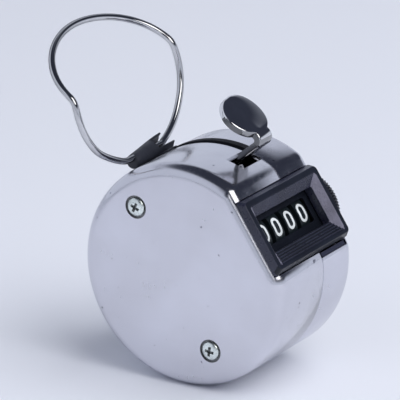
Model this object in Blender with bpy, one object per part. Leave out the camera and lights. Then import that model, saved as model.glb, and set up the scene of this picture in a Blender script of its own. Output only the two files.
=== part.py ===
"""Hand tally counter: steel case, four number wheels, thumb lever, reset knob and finger ring.

Lengths here are millimetres, turned into metres when a mesh is written. X runs along the case's axis
from the left face (x = 0) to the knob, -Y is the window side, +Z is up. Angles are in degrees in the
YZ plane, from +Y towards +Z.
"""
from math import acos, atan2, cos, degrees, hypot, pi, radians, sin, tan

import bmesh
import bpy
from mathutils import Vector
from mathutils.geometry import tessellate_polygon

MM = 0.001

# ---- driving dimensions ----
CASE_R = 22.5
CASE_W = 27.8
WALL = 0.8
EDGE_R = 2.7              # rounding between the rim and each flat face
FLAT_D = 20.2             # distance of the window flat from the case axis
WINDOW_ANGLE = 146.0      # direction of the window's normal
SEAM_X = 16.15
SEAM_GAP = 0.4
BAND_GAP = 0.6            # extra opening of the seam over the top
MID_X = CASE_W / 2.0

WHEEL_AXIS_D = 10.1       # wheel axis, along the window's normal
WHEEL_PITCH = 4.7
DRUM_R = 7.5
DRUM_W = 3.3
SIDE_W = 0.55             # gear or transfer disc at each side of a drum
GEAR_TEETH = 20
PINION_TEETH = 8
GEAR_MODULE = 0.65
SHAFT_R = 1.3
RUN_GAP = 0.15            # radial clearance of a running fit
TOUCH = 0.3               # gap between faces that touch

KNOB_R = 7.8
LEVER_PIVOT = (-9.0, 16.0)
LEVER_X = 12.7
LEVER_W = 4.6
LEVER_T = 0.9
PAD_W = 10.7
PAD_LONG = 4.85           # half length of the pad's oval
PAD_CENTRE = 5.0          # the oval's middle, measured along the strip from the end of the fold
LEVER_FOOT = (-8.3, 16.55)
# the strip's outer face in runs of (length, heading at the start, heading at the end, steps)
LEVER_RUNS = ((4.2, 51.0, 51.0, 3), (0.8, 51.0, 140.0, 3), (6.9, 140.0, 140.0, 4), (3.3, 140.0, 40.0, 6),
              (1.2, 40.0, 30.0, 2), (8.2, 30.0, 44.0, 9), (0.45, 44.0, 45.0, 2))
PIN_R = 0.9

RING_AXIS = (16.04, 18.88)
RING_X = 12.9
RING_WIRE_R = 0.62
SLEEVE_R = 1.95

STEEL = ((0.62, 0.62, 0.66), 1.0, 0.25)
CHROME = ((0.75, 0.75, 0.77), 1.0, 0.08)
BLACK = ((0.025, 0.025, 0.032), 0.0, 0.4)
WHEEL_BLACK = ((0.02, 0.02, 0.022), 0.0, 0.45)
PLATED = ((0.7, 0.7, 0.68), 1.0, 0.3)
BRASS = ((0.72, 0.55, 0.28), 1.0, 0.3)
NYLON = ((0.8, 0.79, 0.74), 0.0, 0.45)
SPRING = ((0.45, 0.45, 0.46), 1.0, 0.35)


def direction(angle):
    """Unit vector (y, z) at an angle from +Y towards +Z."""
    return cos(radians(angle)), sin(radians(angle))


NORMAL = direction(WINDOW_ANGLE)
UPWARD = (NORMAL[1], -NORMAL[0])   # along the window flat, towards its top
WHEEL_AXIS = (NORMAL[0] * WHEEL_AXIS_D, NORMAL[1] * WHEEL_AXIS_D)


def polar(centre, radius, angle):
    y, z = direction(angle)
    return centre[0] + radius * y, centre[1] + radius * z


def circle(centre, radius, count, start=0.0):
    """Counter-clockwise loop of (y, z) points."""
    return [polar(centre, radius, start + 360.0 * i / count) for i in range(count)]


def material(name, look):
    colour, metallic, roughness = look
    mat = bpy.data.materials.new(name)
    mat.use_nodes = True
    bsdf = mat.node_tree.nodes["Principled BSDF"]
    bsdf.inputs["Base Color"].default_value = (*colour, 1.0)
    bsdf.inputs["Metallic"].default_value = metallic
    bsdf.inputs["Roughness"].default_value = roughness
    mat.diffuse_color = (*colour, 1.0)
    return mat


def make(name, verts, faces, look, pivot=(0.0, 0.0, 0.0)):
    """Object from millimetre points, with its origin at pivot."""
    mesh = bpy.data.meshes.new(name)
    base = Vector(pivot)
    mesh.from_pydata([(Vector(v) - base) * MM for v in verts], [], faces)
    mesh.validate()
    bm = bmesh.new()
    bm.from_mesh(mesh)
    bmesh.ops.recalc_face_normals(bm, faces=bm.faces)
    if bm.calc_volume(signed=True) < 0:
        bmesh.ops.reverse_faces(bm, faces=bm.faces)
    bm.to_mesh(mesh)
    bm.free()
    mesh.shade_smooth()
    mesh.set_sharp_from_angle(angle=radians(35))
    obj = bpy.data.objects.new(name, mesh)
    obj.location = base * MM
    bpy.context.scene.collection.objects.link(obj)
    mesh.materials.append(material(name, look))
    return obj


def prism(name, loops, x0, x1, look, pivot=(0.0, 0.0, 0.0)):
    """Plate between x0 and x1: the first loop of (y, z) points is its outline, the others are holes."""
    flat = [(p[0], p[1]) for loop in loops for p in loop]
    count = len(flat)
    verts = [(x0, *p) for p in flat] + [(x1, *p) for p in flat]
    tris = tessellate_polygon([[Vector((p[0], p[1], 0.0)) for p in loop] for loop in loops])
    faces = [tuple(t) for t in tris]
    faces += [tuple(i + count for i in reversed(t)) for t in tris]
    start = 0
    for loop in loops:
        size = len(loop)
        for i in range(size):
            a = start + i
            b = start + (i + 1) % size
            faces.append((a, b, b + count, a + count))
        start += size
    return make(name, verts, faces, look, pivot)


def turned(name, profile, centre, count, look, pivot=(0.0, 0.0, 0.0)):
    """Solid turned about the X direction through centre; profile is (x, radius), radius 0 at both ends or none."""
    verts = []
    rows = []
    for x, radius in profile:
        if radius == 0.0:
            rows.append([len(verts)])
            verts.append((x, *centre))
        else:
            rows.append(list(range(len(verts), len(verts) + count)))
            verts += [(x, *p) for p in circle(centre, radius, count)]
    pairs = list(zip(rows, rows[1:]))
    if profile[0][1] != 0.0:
        pairs.append((rows[-1], rows[0]))
    faces = []
    for a, b in pairs:
        for i in range(count):
            j = (i + 1) % count
            if len(a) == 1:
                faces.append((a[0], b[i], b[j]))
            elif len(b) == 1:
                faces.append((a[i], b[0], a[j]))
            else:
                faces.append((a[i], b[i], b[j], a[j]))
    return make(name, verts, faces, look, pivot)


def rod(name, centre, radius, x0, x1, look, count=20, pivot=(0.0, 0.0, 0.0)):
    profile = [(x0, 0.0), (x0, radius), (x1, radius), (x1, 0.0)]
    return turned(name, profile, centre, count, look, pivot)


def tube(name, centre, radius, bore, x0, x1, look, count=20, pivot=(0.0, 0.0, 0.0)):
    profile = [(x0, bore), (x0, radius), (x1, radius), (x1, bore)]
    return turned(name, profile, centre, count, look, pivot)


def lofted(name, rings, look, pivot=(0.0, 0.0, 0.0), closed=False):
    """Solid through rings of equal count; capped at both ends, or joined end to end when closed."""
    count = len(rings[0])
    verts = [p for ring in rings for p in ring]
    faces = []
    spans = len(rings) if closed else len(rings) - 1
    for k in range(spans):
        a = k * count
        b = ((k + 1) % len(rings)) * count
        for i in range(count):
            j = (i + 1) % count
            faces.append((a + i, a + j, b + j, b + i))
    if not closed:
        faces.append(tuple(range(count)))
        faces.append(tuple(reversed(range(len(verts) - count, len(verts)))))
    return make(name, verts, faces, look, pivot)


def boolean(target, others, operation):
    """Apply one Boolean per helper solid, then remove the helpers."""
    for other in others:
        mod = target.modifiers.new("cut", "BOOLEAN")
        mod.operation = operation
        mod.solver = "EXACT"
        mod.object = other
    bpy.context.view_layer.update()
    graph = bpy.context.evaluated_depsgraph_get()
    mesh = bpy.data.meshes.new_from_object(target.evaluated_get(graph))
    mesh.materials.clear()
    mesh.materials.append(target.data.materials[0])
    target.modifiers.clear()
    target.data = mesh
    for other in others:
        bpy.data.objects.remove(other)
    return target


# ---- the case ----
ARC_STEPS = 52


def case_outline(inset):
    """Case section moved inwards by inset: a circle with the window's chord, as (y, z) points."""
    radius = CASE_R - inset
    flat = FLAT_D - inset
    half = degrees(acos(flat / radius))
    sweep = 360.0 - 2.0 * half
    start = WINDOW_ANGLE + half
    return [polar((0.0, 0.0), radius, start + sweep * i / ARC_STEPS) for i in range(ARC_STEPS + 1)]


def cup(name, face_x, rim_x):
    """One half of the case: rounded edge at face_x, open at rim_x."""
    side = 1.0 if rim_x > face_x else -1.0
    steps = 4
    rings = [(rim_x, 0.0)]
    for i in range(steps + 1):
        turn = radians(90.0 * i / steps)
        rings.append((face_x + side * EDGE_R * (1.0 - sin(turn)), EDGE_R * (1.0 - cos(turn))))
    inner_r = EDGE_R - WALL
    for i in range(steps, -1, -2):
        turn = radians(90.0 * i / steps)
        rings.append((face_x + side * (WALL + inner_r * (1.0 - sin(turn))), WALL + inner_r * (1.0 - cos(turn))))
    rings.append((rim_x, WALL))
    count = ARC_STEPS + 1
    verts = []
    for x, inset in rings:
        verts += [(x, *p) for p in case_outline(inset)]
    faces = []
    last_outer = steps + 1
    for k in range(len(rings)):
        if k == last_outer:
            continue
        a = k * count
        b = ((k + 1) % len(rings)) * count
        for i in range(count):
            j = (i + 1) % count
            faces.append((a + i, a + j, b + j, b + i))
    outer_cap = range(last_outer * count, (last_outer + 1) * count)
    faces.append(tuple(outer_cap))
    faces.append(tuple(range((last_outer + 1) * count, (last_outer + 2) * count)))
    return make(name, verts, faces, STEEL)


def window_block(name, x0, x1, low, high, depth0, depth1):
    """Box along the window's normal: low and high are measured up the flat, depth from the case axis."""
    rings = []
    for x in (x0, x1):
        ring = []
        for u, d in ((low, depth0), (high, depth0), (high, depth1), (low, depth1)):
            ring.append((x, NORMAL[0] * d + UPWARD[0] * u, NORMAL[1] * d + UPWARD[1] * u))
        rings.append(ring)
    return lofted(name, rings, BLACK)


BEZEL_LOW = -8.45
BEZEL_HIGH = 7.4
CUT_GAP = 0.3
BEZEL_SEAT = 19.5
BEZEL_FRONT = 21.3
THROAT_TOP = 20.0
THROAT_END = 18.2
THROAT_HALF = 10.4
THROAT_U = (-4.3, 3.4)
SLOT_X = (9.3, SEAM_X)
SLOT_Y = (-8.5, -4.6)
SCREWS = {"upper": (10.05, 12.43), "lower": (-6.83, -13.82)}
HEAD_R = 2.25
HEAD_H = 0.75
SCREW_R = 1.2


def window_cutter(name):
    return window_block(name, -2.0, CASE_W + 2.0, BEZEL_LOW - CUT_GAP, BEZEL_HIGH + CUT_GAP, 19.2, 26.0)


def sector(name, x0, x1, low, high, inner, outer):
    """Ring sector between two angles, used to open the seam."""
    steps = 16
    angles = [low + (high - low) * i / steps for i in range(steps + 1)]
    loop = [polar((0.0, 0.0), outer, a) for a in angles]
    loop += [polar((0.0, 0.0), inner, a) for a in reversed(angles)]
    return prism(name, [loop], x0, x1, BLACK)


BAND = (38.0, 102.5)      # angles over the top where the seam stands open
BAND_RIGHT = 1.95         # reach of that opening into the right shell


def build_case():
    left = cup("left_shell", 0.0, SEAM_X - SEAM_GAP / 2.0)
    slot = [(SLOT_Y[0], 15.0), (SLOT_Y[1], 15.0), (SLOT_Y[1], 26.0), (SLOT_Y[0], 26.0)]
    cuts = [window_cutter("cut_window")]
    cuts.append(prism("cut_slot", [slot], SLOT_X[0], SLOT_X[1] + 1.0, BLACK))
    cuts.append(sector("cut_band", SEAM_X - SEAM_GAP / 2.0 - BAND_GAP, SEAM_X + 1.0, *BAND, 20.0, 24.0))
    for where, centre in SCREWS.items():
        cuts.append(rod("cut_hole_" + where, centre, SCREW_R + 0.2, -1.0, 3.0, BLACK))
        cuts.append(rod("cut_head_" + where, centre, HEAD_R + 0.2, -1.0, 0.35, BLACK))
    boolean(left, cuts, "DIFFERENCE")

    right = cup("right_shell", CASE_W, SEAM_X + SEAM_GAP / 2.0)
    cuts = [window_cutter("cut_window")]
    cuts.append(window_block("cut_flange", SEAM_X - 1.0, 25.7, BEZEL_LOW - 1.5, BEZEL_LOW, 18.4, 24.0))
    cuts.append(rod("cut_shaft", WHEEL_AXIS, SHAFT_R + 0.5, CASE_W - 3.0, CASE_W + 1.0, BLACK))
    cuts.append(sector("cut_band", SEAM_X - 1.0, SEAM_X + BAND_RIGHT, *BAND, 20.0, 24.0))
    boolean(right, cuts, "DIFFERENCE")


def build_band():
    """Black inner band behind the seam, with a rib that stands in the open part of the seam."""
    outer = CASE_R - WALL - 0.2
    inner = outer - 1.2
    low = -120.0
    high = 97.5
    steps = 40
    angles = [low + (high - low) * i / steps for i in range(steps + 1)]
    loop = [polar((0.0, 0.0), outer, a) for a in angles]
    loop += [polar((0.0, 0.0), inner, a) for a in reversed(angles)]
    band = prism("inner_band", [loop], SEAM_X - 2.0, SEAM_X + 2.0, BLACK)
    rib = sector("rib", SEAM_X - 0.65, SEAM_X + BAND_RIGHT - 0.2, BAND[0] + 20.0, BAND[1] - 1.5,
                 outer - 0.4, CASE_R - 0.15)
    boolean(band, [rib], "UNION")


def rounded_rect(x0, x1, low, high, depth, radius, steps=3):
    """Loop round a rectangle on the window's plane at a depth."""
    corners = ((x1, high, 0.0), (x0, high, 90.0), (x0, low, 180.0), (x1, low, 270.0))
    ring = []
    for cx, cu, start in corners:
        mx = cx - radius if cx == x1 else cx + radius
        mu = cu - radius if cu == high else cu + radius
        for i in range(steps + 1):
            turn = radians(start + 90.0 * i / steps)
            x = mx + radius * cos(turn)
            u = mu + radius * sin(turn)
            ring.append((x, NORMAL[0] * depth + UPWARD[0] * u, NORMAL[1] * depth + UPWARD[1] * u))
    return ring


MASK_U = (-2.75, 2.3)     # the mask's opening, one digit high


def build_bezel():
    """Frame of the window: a raised rim, four inner slopes and a straight throat, with a mask behind it."""
    base = (MID_X - 13.6, MID_X + 13.6, BEZEL_LOW, BEZEL_HIGH)
    rim = (MID_X - 13.2, MID_X + 13.2, BEZEL_LOW + 0.7, BEZEL_HIGH - 0.75)
    lip = (MID_X - THROAT_HALF - 1.6, MID_X + THROAT_HALF + 1.6, -7.0, 5.5)
    throat = (MID_X - THROAT_HALF, MID_X + THROAT_HALF, *THROAT_U)
    plug = (MID_X - 11.6, MID_X + 11.6, -6.8, 6.0)
    rings = [rounded_rect(*base, BEZEL_SEAT, 0.9), rounded_rect(*base, BEZEL_SEAT + 0.5, 0.9)]
    rings += [rounded_rect(*rim, BEZEL_FRONT, 1.0), rounded_rect(*lip, BEZEL_FRONT, 0.7)]
    rings += [rounded_rect(*throat, THROAT_TOP, 0.4), rounded_rect(*throat, THROAT_END, 0.4)]
    rings += [rounded_rect(*plug, THROAT_END, 0.5), rounded_rect(*plug, BEZEL_SEAT, 0.5)]
    lofted("window_bezel", rings, BLACK, closed=True)
    window_block("bezel_flange", SEAM_X + 0.6, 25.4, BEZEL_LOW - 1.2, BEZEL_LOW - TOUCH, 19.0, 19.9)
    mask = (MID_X - 10.9, MID_X + 10.9, -6.6, 5.8)
    hole = (MID_X - 9.1, MID_X + 9.1, *MASK_U)
    top = THROAT_END - TOUCH
    low = top - 0.25
    rings = [rounded_rect(*mask, low, 0.5), rounded_rect(*mask, top, 0.5)]
    rings += [rounded_rect(*hole, top, 0.4), rounded_rect(*hole, low, 0.4)]
    lofted("window_mask", rings, BLACK, closed=True)


def build_screws():
    for where, centre in SCREWS.items():
        profile = [(-HEAD_H, 0.0), (-HEAD_H, HEAD_R - 0.7), (-HEAD_H * 0.6, HEAD_R - 0.1), (0.05, HEAD_R)]
        profile += [(0.05, SCREW_R), (5.5, SCREW_R), (5.5, 0.0)]
        screw = turned("case_screw_" + where, profile, centre, 24, PLATED)
        arms = []
        for k in range(2):
            turn = 45.0 + 90.0 * k
            ends = [polar(centre, 1.4, turn), polar(centre, 1.4, turn + 180.0)]
            across = direction(turn + 90.0)
            loop = []
            for side, end in ((-1, 0), (-1, 1), (1, 1), (1, 0)):
                loop.append((ends[end][0] + side * 0.28 * across[0], ends[end][1] + side * 0.28 * across[1]))
            arms.append(prism("cross", [loop], -1.5, -0.15, PLATED))
        boolean(screw, arms, "DIFFERENCE")
        tube("screw_post_" + where, centre, 2.3, SCREW_R + RUN_GAP, 3.6, CASE_W - 2.2, PLATED, 20)


# ---- frame plates and their spacers ----
PLATE_T = 0.8
PLATE_INSET = 2.4         # from the case's outline
PLATE_LEFT = 2.0
PLATE_RIGHT = CASE_W - 2.0 - PLATE_T
PINION_AXIS = polar(WHEEL_AXIS, GEAR_MODULE * (GEAR_TEETH + PINION_TEETH) / 2.0, -60.0)
PINION_SHAFT_R = 0.8
DETENT_PIN = polar(WHEEL_AXIS, 9.4, -118.0)
SPACERS = {"rear": (14.5, -6.0), "top": (6.0, 16.6), "front": (-16.6, -6.3)}
SPACER_R = 1.4


def build_frame():
    plates = {"left": (PLATE_LEFT, PLATE_LEFT + PLATE_T), "right": (PLATE_RIGHT, PLATE_RIGHT + PLATE_T)}
    for side, (x0, x1) in plates.items():
        loops = [case_outline(PLATE_INSET)[::2]]
        loops.append(circle(WHEEL_AXIS, SHAFT_R + RUN_GAP, 20))
        loops.append(circle(PINION_AXIS, PINION_SHAFT_R + RUN_GAP, 14))
        loops.append(circle(LEVER_PIVOT, PIN_R + RUN_GAP, 16))
        for centre in SCREWS.values():
            loops.append(circle(centre, (2.3 if x0 > 3.6 else SCREW_R) + 0.3, 20))
        if side == "right":
            loops.append(circle(DETENT_PIN, PIN_R + RUN_GAP, 16))
        prism("frame_plate_" + side, loops, x0, x1, PLATED)
    for where, centre in SPACERS.items():
        rod("frame_spacer_" + where, centre, SPACER_R, PLATE_LEFT + PLATE_T + TOUCH, PLATE_RIGHT - TOUCH, PLATED, 16)
    rod("pinion_shaft", PINION_AXIS, PINION_SHAFT_R, PLATE_LEFT - 0.6, PLATE_RIGHT + PLATE_T + 0.4, PLATED, 14)
    rod("lever_pin", LEVER_PIVOT, PIN_R, PLATE_LEFT - 0.6, PLATE_RIGHT + PLATE_T + 0.4, PLATED, 16)
    rod("detent_pin", DETENT_PIN, PIN_R, 19.0, PLATE_RIGHT + PLATE_T + 0.4, PLATED, 16)


# ---- number wheels, pinions and ratchet ----
MESH_ANGLE = -60.0        # direction from the wheel axis to the pinion axis
TOOTH_SHARE = 0.36
TOOTH_FOOT = 1.24         # angular width of a tooth at its foot and tip, against its middle
TOOTH_TIP = 0.76


def tooth_angles(teeth, phase):
    """Four angles per tooth: foot, tip, tip, foot."""
    step = 360.0 / teeth
    foot = step * TOOTH_SHARE * TOOTH_FOOT / 2.0
    tip = step * TOOTH_SHARE * TOOTH_TIP / 2.0
    return [phase + step * i + turn for i in range(teeth) for turn in (-foot, -tip, tip, foot)]


def gear_loop(centre, teeth, tip, root, phase):
    radii = (root, tip, tip, root)
    return [polar(centre, radii[i % 4], a) for i, a in enumerate(tooth_angles(teeth, phase))]


WHEELS = ("thousands", "hundreds", "tens", "units")
PITCH_R = GEAR_MODULE * GEAR_TEETH / 2.0
RATCHET_TEETH = 10
RATCHET_TIP = 4.2


def wheel_x(index):
    return MID_X + WHEEL_PITCH * (index - 1.5)


def wheel(name, x):
    """Number wheel: a drum, a gear on its right side and a plain disc on its left, on one bore."""
    angles = tooth_angles(GEAR_TEETH, MESH_ANGLE)

    def ring(at, radius):
        return [(at, *polar(WHEEL_AXIS, radius, a)) for a in angles]

    half = DRUM_W / 2.0
    bore = SHAFT_R + RUN_GAP
    left = x - half
    right = x + half
    rings = [ring(left, bore)]
    if name != "thousands":
        out = left - SIDE_W
        rings = [ring(out, bore), ring(out, PITCH_R - 0.9), ring(left, PITCH_R - 0.9)]
    rings += [ring(left, DRUM_R), ring(right, DRUM_R)]
    if name == "units":
        out = right + 0.25
        rings += [ring(right, 3.0), ring(out, 3.0)]
    else:
        out = right + SIDE_W
        gear = gear_loop(WHEEL_AXIS, GEAR_TEETH, PITCH_R + 0.5, PITCH_R - 0.75, MESH_ANGLE)
        rings += [[(right, *p) for p in gear], [(out, *p) for p in gear]]
    rings.append(ring(out, bore))
    lofted("wheel_" + name, rings, WHEEL_BLACK, (x, *WHEEL_AXIS), closed=True)


def build_wheels():
    for index, name in enumerate(WHEELS):
        wheel(name, wheel_x(index))
    for index in range(3):
        x = (wheel_x(index) + wheel_x(index + 1)) / 2.0
        teeth = gear_loop(PINION_AXIS, PINION_TEETH, GEAR_MODULE * PINION_TEETH / 2.0 + 0.5, 1.75,
                          MESH_ANGLE + 180.0 + 180.0 / PINION_TEETH)
        bore_p = circle(PINION_AXIS, PINION_SHAFT_R + RUN_GAP, 14)
        prism("pinion_" + WHEELS[index], [teeth, bore_p], x - 0.4, x + 0.4, NYLON, (x, *PINION_AXIS))
    ratchet = []
    for i in range(RATCHET_TEETH):
        step = 360.0 / RATCHET_TEETH
        ratchet.append(polar(WHEEL_AXIS, 3.3, 90.0 + step * i + 1.0))
        ratchet.append(polar(WHEEL_AXIS, RATCHET_TIP, 90.0 + step * i + step * 0.93))
    x = RATCHET_X
    bore = circle(WHEEL_AXIS, SHAFT_R + RUN_GAP, 20)
    prism("ratchet_wheel", [ratchet, bore], x, x + RATCHET_W, PLATED, (x, *WHEEL_AXIS))


RATCHET_X = 22.95
RATCHET_W = 1.0
ARM_X = 24.2
ARM_W = 0.7


def build_knob():
    rod("wheel_shaft", WHEEL_AXIS, SHAFT_R, PLATE_LEFT - 0.7, CASE_W + 5.2, PLATED, 20, (0.0, *WHEEL_AXIS))
    ridges = 36
    loop = []
    for i in range(ridges):
        loop.append(polar(WHEEL_AXIS, KNOB_R, 360.0 * i / ridges))
        loop.append(polar(WHEEL_AXIS, KNOB_R - 0.45, 360.0 * (i + 0.5) / ridges))
    knob_x = CASE_W + 0.9
    pivot = (knob_x, *WHEEL_AXIS)
    bore = circle(WHEEL_AXIS, SHAFT_R + RUN_GAP, 20)
    knob = prism("reset_knob", [loop, bore], knob_x, CASE_W + 6.0, BLACK, pivot)
    dish = rod("dish", WHEEL_AXIS, 4.6, CASE_W + 5.0, CASE_W + 7.0, BLACK, 28)
    boolean(knob, [dish], "DIFFERENCE")
    nut = circle(WHEEL_AXIS, 2.6, 6)
    prism("knob_nut", [nut], CASE_W + 5.4, CASE_W + 6.2, PLATED, pivot)
    tube("shaft_washer", WHEEL_AXIS, 3.0, SHAFT_R + RUN_GAP, CASE_W + 0.3, CASE_W + 0.6, PLATED, 24, pivot)


# ---- thumb lever and pawls ----
def bar(a, b, half):
    """Rectangle round the line from a to b."""
    length = hypot(b[0] - a[0], b[1] - a[1])
    side = (-(b[1] - a[1]) / length * half, (b[0] - a[0]) / length * half)
    return [(a[0] - side[0], a[1] - side[1]), (b[0] - side[0], b[1] - side[1]),
            (b[0] + side[0], b[1] + side[1]), (a[0] + side[0], a[1] + side[1])]


def lever_strip():
    """Strip from the hub through the slot to the fold, then back over itself as the oval pad."""
    half_t = LEVER_T / 2.0
    y, z = LEVER_FOOT
    past = -sum(run[0] for run in LEVER_RUNS[:4])
    rings = []
    for length, first, last, steps in LEVER_RUNS:
        for i in range(steps):
            heading = first + (last - first) * i / steps
            along = (past - PAD_CENTRE) / PAD_LONG
            oval = PAD_W / 2.0 * max(0.0, 1.0 - along * along) ** 0.5
            half_w = max(oval, LEVER_W / 2.0 if past < PAD_CENTRE else 1.2)
            side = direction(heading - 90.0)
            ring = []
            for sx, st in ((-1, 1), (1, 1), (1, -1), (-1, -1)):
                depth = half_t * (1.0 + st)
                ring.append((LEVER_X + sx * half_w, y + depth * side[0], z + depth * side[1]))
            rings.append(ring)
            y, z = polar((y, z), length / steps, (heading + first + (last - first) * (i + 1) / steps) / 2.0)
            past += length / steps
    return rings


PAWL_PIN = (LEVER_PIVOT[0] + 7.5, LEVER_PIVOT[1] - 2.5)
PAWL_PIN_R = 0.6


def build_lever():
    pivot = (LEVER_X, *LEVER_PIVOT)
    hub_r = PIN_R + RUN_GAP + 0.8
    lever = tube("thumb_lever", LEVER_PIVOT, hub_r, PIN_R + RUN_GAP, LEVER_X - LEVER_W / 2.0, ARM_X + 0.3,
                 CHROME, 20, pivot)
    strip = lofted("strip", lever_strip(), CHROME)
    arm_start = (LEVER_PIVOT[0] + 1.45, LEVER_PIVOT[1] - 0.5)
    arm = prism("arm", [bar(arm_start, PAWL_PIN, 1.3)], ARM_X, ARM_X + ARM_W, CHROME)
    boss = rod("boss", PAWL_PIN, 1.6, ARM_X, ARM_X + ARM_W, CHROME, 16)
    boolean(lever, [strip, arm, boss], "UNION")
    rod("drive_pawl_pin", PAWL_PIN, PAWL_PIN_R, RATCHET_X - 0.5, ARM_X - TOUCH, PLATED, 14)
    nose = polar(WHEEL_AXIS, RATCHET_TIP + 0.35, 92.0)
    bend = (nose[0] + 0.4, nose[1] + 2.3)
    loop = [(PAWL_PIN[0] - 0.2, PAWL_PIN[1] - 1.25), (bend[0] + 1.0, bend[1] - 0.75), (nose[0] + 0.55, nose[1]),
            (nose[0] - 0.25, nose[1]), (bend[0] - 0.6, bend[1] + 0.7), (PAWL_PIN[0] - 0.2, PAWL_PIN[1] + 1.25)]
    loop += [polar(PAWL_PIN, 1.25, a) for a in (60.0, 30.0, 0.0, -30.0, -60.0)]
    hole = circle(PAWL_PIN, PAWL_PIN_R + RUN_GAP, 14)
    prism("drive_pawl", [loop, hole], RATCHET_X, RATCHET_X + RATCHET_W - 0.2, PLATED, (RATCHET_X, *PAWL_PIN))

    tip = polar(WHEEL_AXIS, RATCHET_TIP + 0.35, -80.0)
    loop = [polar(DETENT_PIN, PIN_R + RUN_GAP + 0.8, a) for a in range(70, 341, 30)]
    loop += [(tip[0] + 0.2, tip[1] - 1.0), tip, (tip[0] - 0.9, tip[1] - 0.1)]
    hole = circle(DETENT_PIN, PIN_R + RUN_GAP, 16)
    prism("detent_pawl", [loop, hole], RATCHET_X, RATCHET_X + RATCHET_W - 0.2, PLATED, (RATCHET_X, *DETENT_PIN))


def coil(name, centre, radius, wire, x0, x1, turns, look, tails):
    """Torsion spring round an X axis, with a straight tail at each end."""
    curve = bpy.data.curves.new(name, "CURVE")
    curve.dimensions = "3D"
    curve.bevel_depth = wire * MM
    curve.bevel_resolution = 0
    curve.use_fill_caps = True
    steps = int(turns * 12)
    points = [(x0, *tails[0])]
    for i in range(steps + 1):
        points.append((x0 + (x1 - x0) * i / steps, *polar(centre, radius, 360.0 * turns * i / steps)))
    points.append((x1, *tails[1]))
    spline = curve.splines.new("POLY")
    spline.points.add(len(points) - 1)
    for knot, point in zip(spline.points, points):
        knot.co = (*[v * MM for v in point], 1.0)
    obj = bpy.data.objects.new(name, curve)
    bpy.context.scene.collection.objects.link(obj)
    curve.materials.append(material(name, look))
    return obj


def build_springs():
    start = polar(LEVER_PIVOT, 4.2, -15.0)
    coil("lever_spring", LEVER_PIVOT, PIN_R + 0.65, 0.25, 3.4, 9.2, 6.0, SPRING, (start, polar(LEVER_PIVOT, 3.4, 20.0)))


# ---- finger ring, its sleeve and lug ----
LOWER_ANGLE = 76.0
UPPER_ANGLE = 33.0
LOWER_L = 16.5
UPPER_L = 14.0
HALF_SPAN = 17.5
RING_TILT = 4.1
SLEEVE_X = (7.6, 19.4)
LUG_X = (SEAM_X - 0.4, SEAM_X + 0.1)


def bezier(a, b, c, d, count):
    out = []
    for i in range(count):
        t = i / count
        s = 1.0 - t
        weights = (s ** 3, 3 * s * s * t, 3 * s * t * t, t ** 3)
        out.append(tuple(sum(w * p[k] for w, p in zip(weights, (a, b, c, d))) for k in range(2)))
    return out


def ring_half(leg, side):
    """One half of the wire as (across, y, z, ease of the tilt), from the sleeve up to the top."""
    low = direction(LOWER_ANGLE)
    high = direction(UPPER_ANGLE)
    bow = bezier((HALF_SPAN, 0.0), (18.2, 8.0), (9.0, UPPER_L), (0.0, UPPER_L), 12)
    kink = (LOWER_L * low[0], LOWER_L * low[1])
    half = [(side * across, along * low[0], along * low[1], max(0.0, min(1.0, along / 5.0)))
            for across, along in leg]
    half += [(side * across, kink[0] + along * high[0], kink[1] + along * high[1], 1.0) for across, along in bow]
    return half


def ring_points():
    """Wire's centre line: straight through the sleeve, two legs up to the kinks, then the top bow."""
    kink = (HALF_SPAN, LOWER_L)
    right = ring_half(bezier((6.0, 0.0), (7.6, 0.8), (19.9, 4.2), kink, 12), 1.0)
    left = ring_half(bezier((6.4, 0.0), (8.6, 0.0), (19.8, 5.2), kink, 12), -1.0)
    low = direction(LOWER_ANGLE)
    high = direction(UPPER_ANGLE)
    top = (0.0, LOWER_L * low[0] + UPPER_L * high[0], LOWER_L * low[1] + UPPER_L * high[1], 1.0)
    slope = tan(radians(RING_TILT))
    out = []
    for across, y, z, ease in right + [top] + left[::-1]:
        out.append((RING_X + across - slope * z * ease, RING_AXIS[0] + y, RING_AXIS[1] + z + slope * across * ease))
    return out


def build_ring():
    pivot = (RING_X, *RING_AXIS)
    curve = bpy.data.curves.new("finger_ring", "CURVE")
    curve.dimensions = "3D"
    curve.bevel_depth = RING_WIRE_R * MM
    curve.bevel_resolution = 2
    spline = curve.splines.new("POLY")
    points = ring_points()
    spline.points.add(len(points) - 1)
    for knot, point in zip(spline.points, points):
        knot.co = (*[(point[k] - pivot[k]) * MM for k in range(3)], 1.0)
    spline.use_cyclic_u = True
    obj = bpy.data.objects.new("finger_ring", curve)
    obj.location = Vector(pivot) * MM
    bpy.context.scene.collection.objects.link(obj)
    curve.materials.append(material("finger_ring", CHROME))

    tube("ring_sleeve", RING_AXIS, SLEEVE_R, RING_WIRE_R + 0.3, *SLEEVE_X, BLACK, 20)
    foot = degrees(atan2(RING_AXIS[1], RING_AXIS[0]))
    lug = rod("ring_lug", RING_AXIS, SLEEVE_R + 0.9, *LUG_X, BLACK, 24)
    root = sector("lug_root", *LUG_X, foot - 8.0, foot + 8.0, CASE_R - WALL + 0.1, CASE_R + 0.6)
    boolean(lug, [root], "UNION")
    boolean(lug, [rod("lug_bore", RING_AXIS, SLEEVE_R + 0.1, 0.0, CASE_W, BLACK, 20)], "DIFFERENCE")


def main():
    for obj in list(bpy.data.objects):
        bpy.data.objects.remove(obj)
    build_case()
    build_band()
    build_bezel()
    build_screws()
    build_frame()
    build_wheels()
    build_knob()
    build_lever()
    build_springs()
    build_ring()


main()
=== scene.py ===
"""Looks of the hand tally counter: meshes, materials, floor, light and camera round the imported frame.

Lengths are millimetres and become metres when a mesh is made. X runs along the case's axis from the left
face, -Y is the window side, +Z is up. Angles are in degrees in the YZ plane, from +Y towards +Z.
"""
from math import atan2, ceil, cos, degrees, hypot, pi, radians, sin, sqrt, tan

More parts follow.
